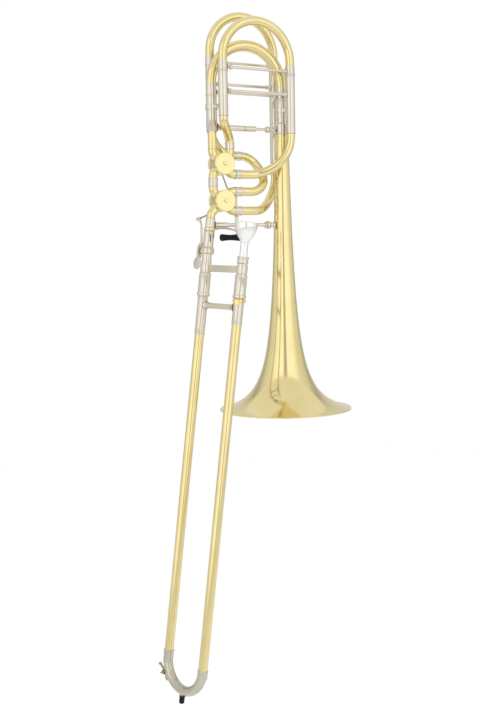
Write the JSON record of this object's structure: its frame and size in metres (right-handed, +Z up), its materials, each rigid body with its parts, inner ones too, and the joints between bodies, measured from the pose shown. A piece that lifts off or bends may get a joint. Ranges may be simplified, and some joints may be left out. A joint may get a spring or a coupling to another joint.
{
  "type": "bass trombone",
  "caption": "Bass trombone with in-line rotary valves, tuning slides, a hand slide, levers and a mouthpiece, held up by its bell.",
  "frame": {"origin": "the centre of the bell's rim, in the plane of the rim", "axes": "+Z up the bell's axis towards the tuning slides, +X from the valves and hand slide towards the bell, -Y to the side of the mouthpiece"},
  "size_m": [0.3758, 0.24, 1.2017],
  "materials": {
    "lacquered_brass": "polished yellow brass under clear lacquer",
    "nickel_silver": "polished nickel silver under clear lacquer, a copper alloy of a pale warm grey",
    "silver_plate": "bright silver plate over brass",
    "black_rubber": "satin black"
  },
  "bodies": {
    "bell_section": {"bell_flare": "lacquered_brass", "main_outer_leg_left": "nickel_silver", "main_outer_leg_right": "nickel_silver", "gb_outer_leg_left": "nickel_silver", "gb_outer_leg_right": "nickel_silver", "f_outer_leg_left": "nickel_silver", "f_outer_leg_right": "nickel_silver", "gb_rotor_casing": "lacquered_brass", "f_rotor_casing": "lacquered_brass", "gb_rotor_cap": "lacquered_brass", "f_rotor_cap": "lacquered_brass", "gb_back_plate": "lacquered_brass", "f_back_plate": "lacquered_brass", "main_lead_pipe": "lacquered_brass", "valve_interconnect": "nickel_silver", "gb_s_bend": "lacquered_brass", "gb_lower_bend": "lacquered_brass", "f_lower_bend": "lacquered_brass", "f_return_bend": "lacquered_brass", "gooseneck": "nickel_silver", "slide_receiver": "nickel_silver", "f_lever_saddle": "nickel_silver", "gb_trigger_bearing": "nickel_silver", "leg_tie_left": "nickel_silver", "leg_tie_right": "nickel_silver", "gb_leg_brace": "nickel_silver", "f_leg_brace": "nickel_silver", "main_leg_brace": "nickel_silver", "bell_brace": "nickel_silver"},
    "main_tuning_slide": {"main_slide_crook": "lacquered_brass", "main_slide_brace": "nickel_silver"},
    "gb_tuning_slide": {"gb_slide_crook": "lacquered_brass", "gb_slide_brace": "nickel_silver"},
    "f_tuning_slide": {"f_slide_crook": "lacquered_brass", "f_slide_brace": "nickel_silver"},
    "f_lever": {"f_thumb_lever": "nickel_silver"},
    "f_valve": {"f_rotor": "nickel_silver", "f_stop_arm": "nickel_silver"},
    "f_link": {"f_link_rod": "nickel_silver"},
    "gb_lever": {"gb_trigger": "nickel_silver"},
    "gb_roller": {"gb_finger_roller": "black_rubber"},
    "gb_valve": {"gb_rotor": "nickel_silver", "gb_stop_arm": "nickel_silver"},
    "gb_link": {"gb_link_rod": "nickel_silver"},
    "lock_nut": {"slide_lock_nut": "nickel_silver"},
    "inner_slide": {"slide_tenon": "nickel_silver", "mouthpiece_receiver": "nickel_silver", "inner_tube_left": "nickel_silver", "inner_tube_right": "nickel_silver", "cork_barrel_left": "nickel_silver", "cork_barrel_right": "nickel_silver", "inner_slide_brace": "silver_plate"},
    "outer_slide": {"outer_tube_left": "lacquered_brass", "outer_tube_right": "lacquered_brass", "outer_slide_brace": "silver_plate", "slide_bow": "nickel_silver", "bow_stop": "black_rubber"},
    "slide_lock": {"slide_lock_ring": "lacquered_brass"},
    "key_lever": {"water_key": "nickel_silver"},
    "mouthpiece_body": {"mouthpiece": "silver_plate"}
  },
  "joints": [
    {"name": "main_tuning", "type": "slide", "parent": "bell_section", "child": "main_tuning_slide", "axis": [0, 0, 1], "range_m": [0, 0.045]},
    {"name": "gb_tuning", "type": "slide", "parent": "bell_section", "child": "gb_tuning_slide", "axis": [0, 0, 1], "range_m": [0, 0.06]},
    {"name": "f_tuning", "type": "slide", "parent": "bell_section", "child": "f_tuning_slide", "axis": [0, 0, 1], "range_m": [0, 0.085]},
    {"name": "f_lever_pivot", "type": "hinge", "parent": "bell_section", "child": "f_lever", "pos_m": [-0.1545, 0.01805, 0.3005], "axis": [0, -1, 0], "range_deg": [0, 24.38], "stiffness_Nm_per_rad": 0.25, "springref_deg": -20.05},
    {"name": "f_valve_turn", "type": "hinge", "parent": "bell_section", "child": "f_valve", "pos_m": [-0.1212, 0, 0.3765], "axis": [0, 1, 0], "range_deg": [0, 90.1]},
    {"name": "f_link_swing", "type": "hinge", "parent": "f_lever", "child": "f_link", "pos_m": [-0.1585, 0.02095, 0.346], "axis": [0, -1, 0], "range_deg": [-17.45, 0]},
    {"name": "gb_trigger_pivot", "type": "hinge", "parent": "bell_section", "child": "gb_lever", "pos_m": [-0.088, 0.0105, 0.313], "axis": [0, 0, 1], "range_deg": [0, 36.34], "stiffness_Nm_per_rad": 0.2, "springref_deg": -20.05},
    {"name": "gb_roller_spin", "type": "hinge", "parent": "gb_lever", "child": "gb_roller", "pos_m": [-0.088, -0.005, 0.313], "axis": [1, 0, 0], "continuous": true},
    {"name": "gb_valve_turn", "type": "hinge", "parent": "bell_section", "child": "gb_valve", "pos_m": [-0.1212, 0, 0.44], "axis": [0, 1, 0], "range_deg": [0, 90.1]},
    {"name": "gb_link_swing", "type": "hinge", "parent": "gb_valve", "child": "gb_link", "pos_m": [-0.11271, 0.02095, 0.43151], "axis": [0, 1, 0], "range_deg": [-90.1, 0]},
    {"name": "lock_nut_turn", "type": "hinge", "parent": "bell_section", "child": "lock_nut", "pos_m": [-0.15106, 0, 0.2956], "axis": [0.1308, 0, 0.9914], "continuous": true},
    {"name": "slide_swivel", "type": "hinge", "parent": "bell_section", "child": "inner_slide", "pos_m": [-0.15106, 0, 0.2956], "axis": [0.1308, 0, 0.9914], "range_deg": [-20, 20]},
    {"name": "hand_slide", "type": "slide", "parent": "inner_slide", "child": "outer_slide", "axis": [-0.1308, 0, -0.9914], "range_m": [0, 0.6]},
    {"name": "slide_lock_turn", "type": "hinge", "parent": "outer_slide", "child": "slide_lock", "pos_m": [-0.12597, -0.08845, 0.29229], "axis": [0.1308, 0, 0.9914], "range_deg": [0, 30]},
    {"name": "water_key_pivot", "type": "hinge", "parent": "outer_slide", "child": "key_lever", "pos_m": [-0.25096, 0.00515, -0.45033], "axis": [0.9531, 0.2751, -0.1257], "range_deg": [0, 20], "stiffness_Nm_per_rad": 0.02, "springref_deg": -22.92},
    {"name": "mouthpiece_out", "type": "slide", "parent": "inner_slide", "child": "mouthpiece_body", "axis": [0.1308, 0, 0.9914], "range_m": [0, 0.04]}
  ],
  "couplings": [
    {"joint": "f_valve_turn", "follows": "f_lever_pivot", "ratio": 3.6922},
    {"joint": "f_link_swing", "follows": "f_lever_pivot", "ratio": -0.712},
    {"joint": "gb_valve_turn", "follows": "gb_trigger_pivot", "ratio": 2.4768},
    {"joint": "gb_link_swing", "follows": "gb_trigger_pivot", "ratio": -2.4768}
  ]
}
